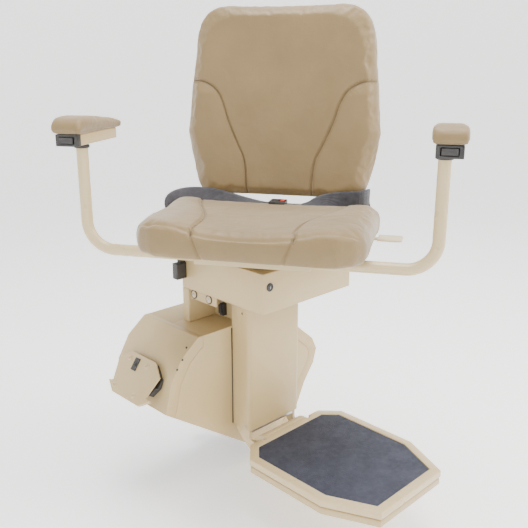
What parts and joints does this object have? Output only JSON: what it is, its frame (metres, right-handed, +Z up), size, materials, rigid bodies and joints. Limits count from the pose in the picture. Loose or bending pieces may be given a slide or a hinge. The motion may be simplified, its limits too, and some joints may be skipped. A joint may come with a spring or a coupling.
{
  "type": "stairlift chair",
  "caption": "Seated stair climbing chair: sloped rail carriage with column, fold-up eight-sided footrest, swivelling padded seat, flip-back arms and lap belt.",
  "frame": {"origin": "centre of the rail section that the carriage grips, midway between the four rollers", "axes": "+X level along the stairs towards the lower landing, +Y to the rail and wall, +Z up; the rail climbs at 35 degrees towards -X"},
  "size_m": [0.6642, 0.8175, 1.1398],
  "materials": {
    "cover_cream": "smooth satin moulded covers",
    "frame_cream": "powder coated steel and castings",
    "vinyl_tan": "soft grained upholstery vinyl",
    "black_plastic": "fine textured",
    "mat_slate": "non-slip footrest mat",
    "bare_steel": "machined",
    "webbing": "woven belt webbing",
    "roller_nylon": "machined nylon",
    "button_red": "moulded"
  },
  "bodies": {
    "carriage": {"chassis_plate": "bare_steel", "front_cover": "cover_cream", "end_cover_upper": "cover_cream", "end_cover_lower": "cover_cream", "rear_cover": "cover_cream", "rail_side_pad": "roller_nylon", "roller_axle_1": "bare_steel", "roller_axle_2": "bare_steel", "roller_axle_3": "bare_steel", "roller_axle_4": "bare_steel", "gearbox": "bare_steel", "drive_motor": "black_plastic", "battery_1": "black_plastic", "battery_2": "black_plastic", "column_cover": "cover_cream", "column_frame": "bare_steel", "head_box": "cover_cream", "upright_block": "cover_cream", "swivel_bearing": "bare_steel", "interlock_switch": "black_plastic", "hinge_lug_left": "frame_cream", "hinge_lug_right": "frame_cream", "footrest_hinge_pin": "bare_steel"},
    "roller_1": {"rail_roller_1": "roller_nylon"},
    "roller_2": {"rail_roller_2": "roller_nylon"},
    "roller_3": {"rail_roller_3": "roller_nylon"},
    "roller_4": {"rail_roller_4": "roller_nylon"},
    "pinion": {"drive_pinion": "bare_steel"},
    "sensor_upper": {"sensor_plate_upper": "cover_cream"},
    "sensor_lower": {"sensor_plate_lower": "cover_cream"},
    "footrest": {"footrest_tray": "frame_cream", "footrest_mat": "mat_slate", "footrest_barrel": "frame_cream"},
    "footrest_sensor": {"footrest_sensor_pan": "cover_cream"},
    "seat_upper": {"swivel_plate": "bare_steel", "seat_beam": "frame_cream", "seat_frame": "frame_cream", "back_bracket": "frame_cream", "back_cushion": "vinyl_tan", "back_shell": "cover_cream"},
    "seat_base": {"seat_cushion": "vinyl_tan", "seat_pan": "black_plastic", "belt_left": "webbing", "belt_right": "webbing", "belt_tongue": "bare_steel", "belt_buckle": "black_plastic"},
    "button": {"buckle_button": "button_red"},
    "lever": {"swivel_lever": "frame_cream"},
    "arm_left": {"arm_tube_left": "frame_cream", "arm_housing_left": "cover_cream", "switch_cap_left": "black_plastic", "arm_pad_left": "vinyl_tan"},
    "arm_right": {"arm_tube_right": "frame_cream", "arm_housing_right": "cover_cream", "switch_cap_right": "black_plastic", "arm_pad_right": "vinyl_tan"},
    "rocker_left": {"travel_rocker_left": "black_plastic"},
    "rocker_right": {"travel_rocker_right": "black_plastic"}
  },
  "joints": [
    {"name": "seat_swivel", "type": "hinge", "parent": "carriage", "child": "seat_upper", "pos_m": [0.08151, -0.276, 0.38903], "axis": [0, 0, 1], "range_deg": [-31.75, 58.25]},
    {"name": "seat_fold", "type": "hinge", "parent": "seat_upper", "child": "seat_base", "pos_m": [0.14954, -0.2339, 0.49003], "axis": [-0.5262, 0.8504, 0], "range_deg": [0, 70]},
    {"name": "footrest_fold", "type": "hinge", "parent": "carriage", "child": "footrest", "pos_m": [0.08151, -0.325, -0.08047], "axis": [-1, 0, 0], "range_deg": [0, 90]},
    {"name": "footrest_obstruction", "type": "slide", "parent": "footrest", "child": "footrest_sensor", "axis": [0, 0, 1], "range_m": [0, 0.002], "stiffness_N_per_m": 20000, "springref_m": -0.001},
    {"name": "left_arm_fold", "type": "hinge", "parent": "seat_upper", "child": "arm_left", "pos_m": [-0.21496, -0.10667, 0.41253], "axis": [-0.5262, 0.8504, 0], "range_deg": [0, 75]},
    {"name": "right_arm_fold", "type": "hinge", "parent": "seat_upper", "child": "arm_right", "pos_m": [0.10076, -0.61688, 0.41253], "axis": [-0.5262, 0.8504, 0], "range_deg": [0, 75]},
    {"name": "left_travel_switch", "type": "hinge", "parent": "arm_left", "child": "rocker_left", "pos_m": [-0.29919, -0.06177, 0.65368], "axis": [0, 0, 1], "range_deg": [-6, 6], "stiffness_Nm_per_rad": 0.4},
    {"name": "right_travel_switch", "type": "hinge", "parent": "arm_right", "child": "rocker_right", "pos_m": [0.10336, -0.71229, 0.65368], "axis": [0, 0, 1], "range_deg": [-6, 6], "stiffness_Nm_per_rad": 0.4},
    {"name": "swivel_release", "type": "hinge", "parent": "seat_upper", "child": "lever", "pos_m": [0.20158, -0.35222, 0.41303], "axis": [0.8504, 0.5262, 0], "range_deg": [0, 8], "stiffness_Nm_per_rad": 6, "springref_deg": -6.88},
    {"name": "upper_end_sensor", "type": "slide", "parent": "carriage", "child": "sensor_upper", "axis": [0.8192, 0, -0.5736], "range_m": [0, 0.006], "stiffness_N_per_m": 3000, "springref_m": -0.003},
    {"name": "lower_end_sensor", "type": "slide", "parent": "carriage", "child": "sensor_lower", "axis": [-0.8192, 0, 0.5736], "range_m": [0, 0.006], "stiffness_N_per_m": 3000, "springref_m": -0.003},
    {"name": "rail_roller_1_spin", "type": "hinge", "parent": "carriage", "child": "roller_1", "pos_m": [-0.07502, 0, 0.12822], "axis": [0, 1, 0], "continuous": true},
    {"name": "rail_roller_2_spin", "type": "hinge", "parent": "carriage", "child": "roller_2", "pos_m": [0.14615, 0, -0.02664], "axis": [0, 1, 0], "continuous": true},
    {"name": "rail_roller_3_spin", "type": "hinge", "parent": "carriage", "child": "roller_3", "pos_m": [-0.14615, 0, 0.02664], "axis": [0, 1, 0], "continuous": true},
    {"name": "rail_roller_4_spin", "type": "hinge", "parent": "carriage", "child": "roller_4", "pos_m": [0.07502, 0, -0.12822], "axis": [0, 1, 0], "continuous": true},
    {"name": "pinion_spin", "type": "hinge", "parent": "carriage", "child": "pinion", "pos_m": [-0.03269, 0, -0.04669], "axis": [0, 1, 0], "continuous": true},
    {"name": "buckle_press", "type": "slide", "parent": "seat_base", "child": "button", "axis": [0, 0, -1], "range_m": [0, 0.0025], "stiffness_N_per_m": 500, "springref_m": -0.002}
  ]
}
